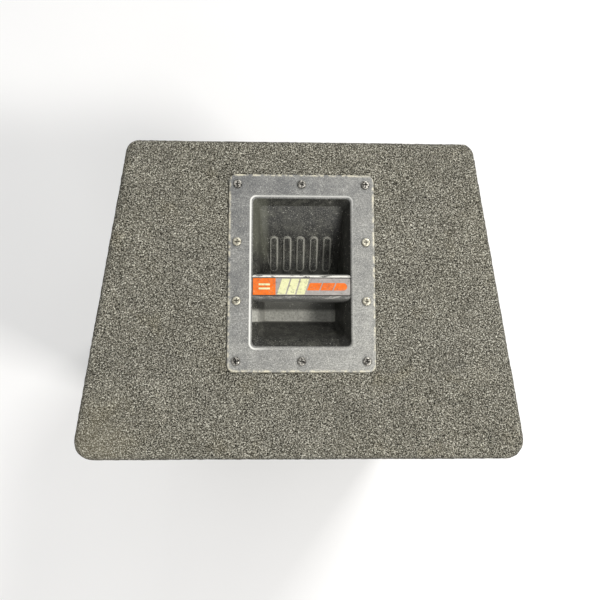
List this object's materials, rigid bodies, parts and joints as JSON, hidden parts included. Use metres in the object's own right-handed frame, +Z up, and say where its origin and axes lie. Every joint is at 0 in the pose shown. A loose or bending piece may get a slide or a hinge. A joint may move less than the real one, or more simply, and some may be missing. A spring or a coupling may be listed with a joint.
{
  "type": "stage monitor cabinet",
  "caption": "Trapezoid two-way stage monitor cabinet in heather carpet, with a recessed bar handle in its end, a perforated grille, a rear input cup, a pole socket and rubber feet.",
  "frame": {"origin": "middle of the footprint, at the underside of the bottom feet", "axes": "+Z up the cabinet to the handle end, -Y out of the grille, +X across the width"},
  "size_m": [0.47, 0.343, 0.7036],
  "materials": {
    "carpet": "felted heather carpet",
    "wadding": "loose",
    "board_wood": "plain",
    "baffle_paint": "painted black",
    "dish_plastic": "moulded, worn",
    "bar_plastic": "moulded, worn",
    "label": "printed blocks",
    "foam_rubber": "closed cell",
    "pan_screws": "zinc, tarnished",
    "black_screws": "black zinc",
    "grille_steel": "satin powder coat",
    "black_plastic": "moulded",
    "basket_paint": "satin",
    "gasket_card": "pressed",
    "zinc_steel": "zinc",
    "doped_cloth": "doped",
    "cone_paper": "pressed pulp",
    "spider_cloth": "treated cotton",
    "aluminium": "plain",
    "copper": "enamelled",
    "ferrite": "sintered",
    "horn_plastic": "moulded",
    "cup_plastic": "moulded",
    "socket_plastic": "moulded",
    "foot_rubber": "moulded",
    "circuit_board": "lacquered",
    "capacitor_film": "film wrapped",
    "resistor_ceramic": "cement",
    "lead_rubber": "sleeved"
  },
  "bodies": {
    "cabinet": {"back_battens": "board_wood", "back_panel": "board_wood", "baffle_battens": "board_wood", "board_screws": "black_screws", "bottom_end_panel": "board_wood", "bottom_feet": "foot_rubber", "carpet_back": "carpet", "carpet_wrap": "carpet", "cross_brace": "board_wood", "crossover_board": "circuit_board", "crossover_capacitors": "capacitor_film", "crossover_coils": "copper", "crossover_resistors": "resistor_ceramic", "crossover_standoffs": "black_plastic", "damping_pads": "wadding", "diaphragm_ring": "black_plastic", "diaphragm_surround": "doped_cloth", "driver_magnet": "ferrite", "driver_phase_plug": "black_plastic", "driver_rear_cover": "basket_paint", "driver_top_plate": "zinc_steel", "driver_yoke": "zinc_steel", "foot_screws": "black_screws", "front_baffle": "baffle_paint", "grille": "grille_steel", "grille_posts": "black_plastic", "grille_screws": "black_screws", "handle_bar": "bar_plastic", "handle_dish": "dish_plastic", "handle_gasket": "foam_rubber", "handle_label": "label", "handle_screws": "pan_screws", "horn_flare": "horn_plastic", "input_cup": "cup_plastic", "input_cup_screws": "black_screws", "internal_leads": "lead_rubber", "jack_sockets": "socket_plastic", "left_side_panel": "board_wood", "pole_socket": "cup_plastic", "port_tubes": "horn_plastic", "right_side_panel": "board_wood", "side_feet": "foot_rubber", "speaker_sockets": "socket_plastic", "terminal_blocks": "black_plastic", "top_end_panel": "board_wood", "woofer_basket": "basket_paint", "woofer_bolts": "black_screws", "woofer_gasket": "gasket_card", "woofer_magnet": "ferrite", "woofer_spider": "spider_cloth", "woofer_surround": "doped_cloth", "woofer_tee_nuts": "zinc_steel", "woofer_tinsel_leads": "copper", "woofer_top_plate": "zinc_steel", "woofer_yoke": "zinc_steel"},
    "woofer_cone_assembly": {"woofer_cone": "cone_paper", "woofer_dust_cap": "cone_paper", "voice_coil_former": "aluminium", "voice_coil_winding": "copper"},
    "diaphragm_assembly": {"driver_diaphragm": "aluminium"}
  },
  "joints": [
    {"name": "woofer_excursion", "type": "slide", "parent": "cabinet", "child": "woofer_cone_assembly", "axis": [0, -1, 0], "range_m": [-0.005, 0.005], "stiffness_N_per_m": 4500, "deforming": ["woofer_surround", "woofer_spider", "woofer_tinsel_leads"]},
    {"name": "diaphragm_excursion", "type": "slide", "parent": "cabinet", "child": "diaphragm_assembly", "axis": [0, -1, 0], "range_m": [-0.0003, 0.0003], "stiffness_N_per_m": 2000, "deforming": ["diaphragm_surround"]}
  ]
}
